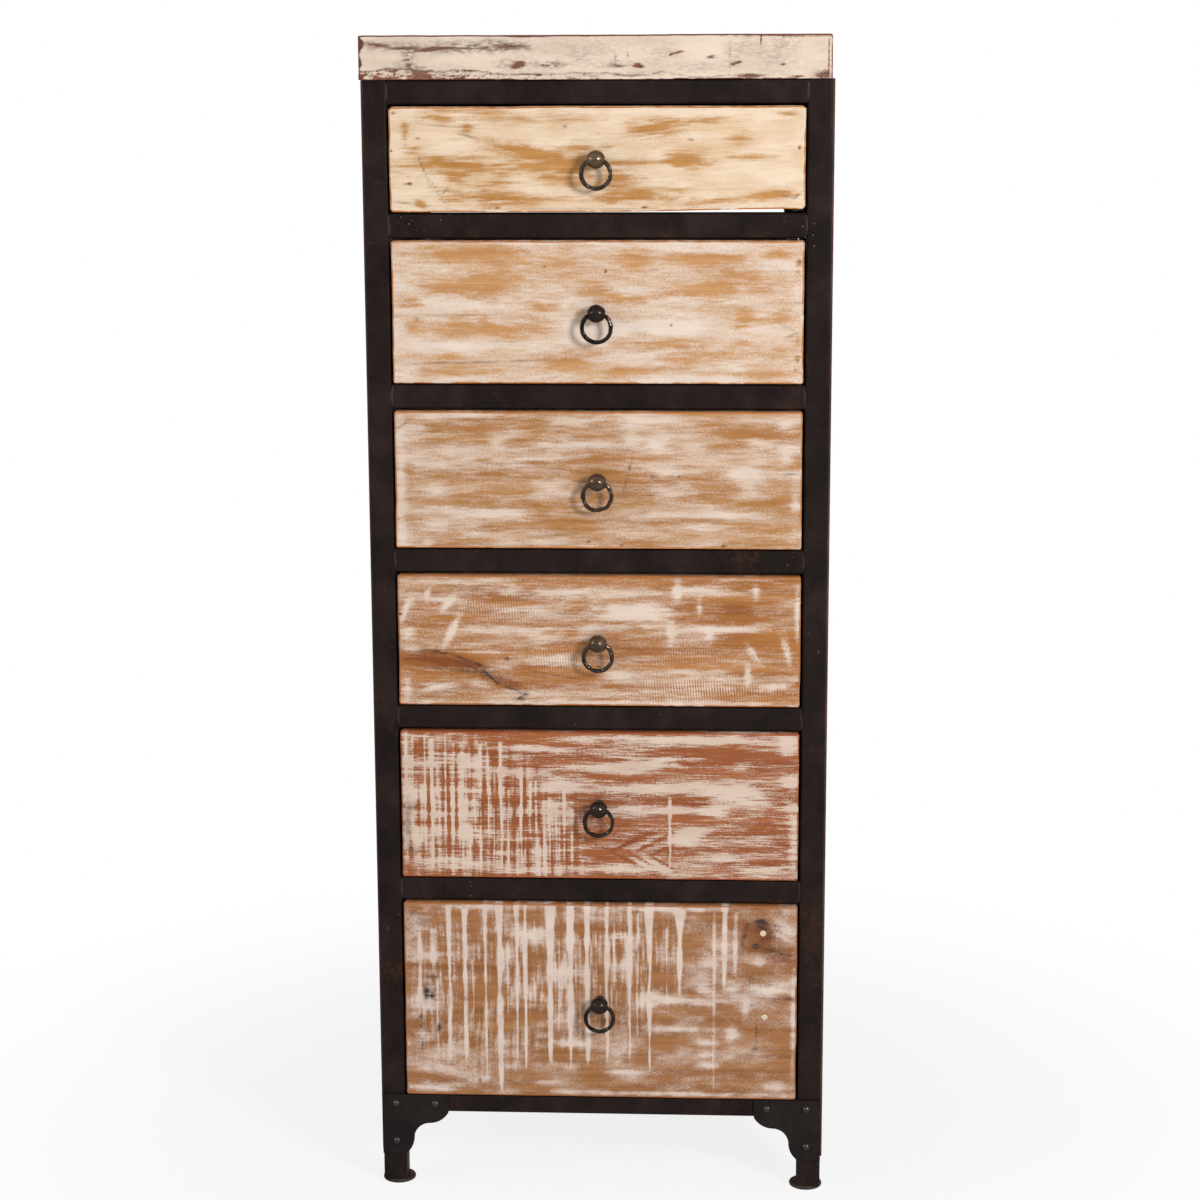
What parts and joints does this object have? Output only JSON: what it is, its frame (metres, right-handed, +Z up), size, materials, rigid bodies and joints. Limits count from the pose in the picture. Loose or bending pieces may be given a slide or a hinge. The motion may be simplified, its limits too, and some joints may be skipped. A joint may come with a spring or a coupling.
{
  "type": "chest of drawers",
  "caption": "Tall narrow chest of drawers with limewashed reclaimed-wood fronts, ball-and-ring pulls and a worn plank top in a dark welded iron frame on short legs with riveted gussets.",
  "frame": {"origin": "on the floor under the middle of the whole object, pulls included", "axes": "+Z up, the drawers face -Y and slide out along -Y, +X to the viewer's right"},
  "size_m": [0.475, 0.4056, 1.2163],
  "materials": {
    "slab_wood": "worn cream paint over old boards",
    "box_wood": "bare sawn board",
    "frame_iron": "dark brown-black, semi-gloss",
    "panel_iron": "rust-brown sheet, satin",
    "runner_iron": "dark, worn bright where the drawers slide",
    "foot_iron": "dark with rust",
    "rivet_iron": "dark, polished on the heads",
    "stud_iron": "bronze-black patina, semi-gloss",
    "ring_iron": "hammered, dark",
    "front_wood_1": "limewash rubbed back to the old wood",
    "front_wood_2": "limewash rubbed back to the old wood",
    "front_wood_3": "limewash rubbed back to the old wood",
    "front_wood_4": "limewash rubbed back to the old wood",
    "front_wood_5": "limewash rubbed back to the old wood",
    "front_wood_6": "limewash rubbed back to the old wood"
  },
  "bodies": {
    "frame": {"top_slab": "slab_wood", "front_left_post": "frame_iron", "front_right_post": "frame_iron", "rear_left_post": "frame_iron", "rear_right_post": "frame_iron", "front_top_rail": "frame_iron", "front_rail_1": "frame_iron", "front_rail_2": "frame_iron", "front_rail_3": "frame_iron", "front_rail_4": "frame_iron", "front_rail_5": "frame_iron", "front_bottom_rail": "frame_iron", "rear_top_rail": "frame_iron", "rear_bottom_rail": "frame_iron", "left_side_rails": "frame_iron", "right_side_rails": "frame_iron", "left_side_panel": "panel_iron", "right_side_panel": "panel_iron", "left_gusset": "frame_iron", "right_gusset": "frame_iron", "left_runners": "runner_iron", "right_runners": "runner_iron", "feet": "foot_iron", "gusset_rivets": "rivet_iron"},
    "drawer_1": {"drawer_1_front": "front_wood_1", "drawer_1_sides": "box_wood", "drawer_1_back": "box_wood", "drawer_1_bottom": "box_wood", "drawer_1_stud": "stud_iron"},
    "ring_1": {"drawer_1_ring": "ring_iron"},
    "drawer_2": {"drawer_2_front": "front_wood_2", "drawer_2_sides": "box_wood", "drawer_2_back": "box_wood", "drawer_2_bottom": "box_wood", "drawer_2_stud": "stud_iron"},
    "ring_2": {"drawer_2_ring": "ring_iron"},
    "drawer_3": {"drawer_3_front": "front_wood_3", "drawer_3_sides": "box_wood", "drawer_3_back": "box_wood", "drawer_3_bottom": "box_wood", "drawer_3_stud": "stud_iron"},
    "ring_3": {"drawer_3_ring": "ring_iron"},
    "drawer_4": {"drawer_4_front": "front_wood_4", "drawer_4_sides": "box_wood", "drawer_4_back": "box_wood", "drawer_4_bottom": "box_wood", "drawer_4_stud": "stud_iron"},
    "ring_4": {"drawer_4_ring": "ring_iron"},
    "drawer_5": {"drawer_5_front": "front_wood_5", "drawer_5_sides": "box_wood", "drawer_5_back": "box_wood", "drawer_5_bottom": "box_wood", "drawer_5_stud": "stud_iron"},
    "ring_5": {"drawer_5_ring": "ring_iron"},
    "drawer_6": {"drawer_6_front": "front_wood_6", "drawer_6_sides": "box_wood", "drawer_6_back": "box_wood", "drawer_6_bottom": "box_wood", "drawer_6_stud": "stud_iron"},
    "ring_6": {"drawer_6_ring": "ring_iron"}
  },
  "joints": [
    {"name": "drawer_1_slide", "type": "slide", "parent": "frame", "child": "drawer_1", "axis": [0, -1, 0], "range_m": [0, 0.28]},
    {"name": "ring_1_swing", "type": "hinge", "parent": "drawer_1", "child": "ring_1", "pos_m": [0, -0.1932, 1.09285], "axis": [-1, 0, 0], "range_deg": [-18, 195]},
    {"name": "drawer_2_slide", "type": "slide", "parent": "frame", "child": "drawer_2", "axis": [0, -1, 0], "range_m": [0, 0.28]},
    {"name": "ring_2_swing", "type": "hinge", "parent": "drawer_2", "child": "ring_2", "pos_m": [0, -0.1932, 0.9402], "axis": [-1, 0, 0], "range_deg": [-18, 195]},
    {"name": "drawer_3_slide", "type": "slide", "parent": "frame", "child": "drawer_3", "axis": [0, -1, 0], "range_m": [0, 0.28]},
    {"name": "ring_3_swing", "type": "hinge", "parent": "drawer_3", "child": "ring_3", "pos_m": [0, -0.1932, 0.7691], "axis": [-1, 0, 0], "range_deg": [-18, 195]},
    {"name": "drawer_4_slide", "type": "slide", "parent": "frame", "child": "drawer_4", "axis": [0, -1, 0], "range_m": [0, 0.28]},
    {"name": "ring_4_swing", "type": "hinge", "parent": "drawer_4", "child": "ring_4", "pos_m": [0, -0.1932, 0.60125], "axis": [-1, 0, 0], "range_deg": [-18, 195]},
    {"name": "drawer_5_slide", "type": "slide", "parent": "frame", "child": "drawer_5", "axis": [0, -1, 0], "range_m": [0, 0.28]},
    {"name": "ring_5_swing", "type": "hinge", "parent": "drawer_5", "child": "ring_5", "pos_m": [0, -0.1932, 0.42485], "axis": [-1, 0, 0], "range_deg": [-18, 195]},
    {"name": "drawer_6_slide", "type": "slide", "parent": "frame", "child": "drawer_6", "axis": [0, -1, 0], "range_m": [0, 0.28]},
    {"name": "ring_6_swing", "type": "hinge", "parent": "drawer_6", "child": "ring_6", "pos_m": [0, -0.1932, 0.2097], "axis": [-1, 0, 0], "range_deg": [-18, 195]}
  ]
}
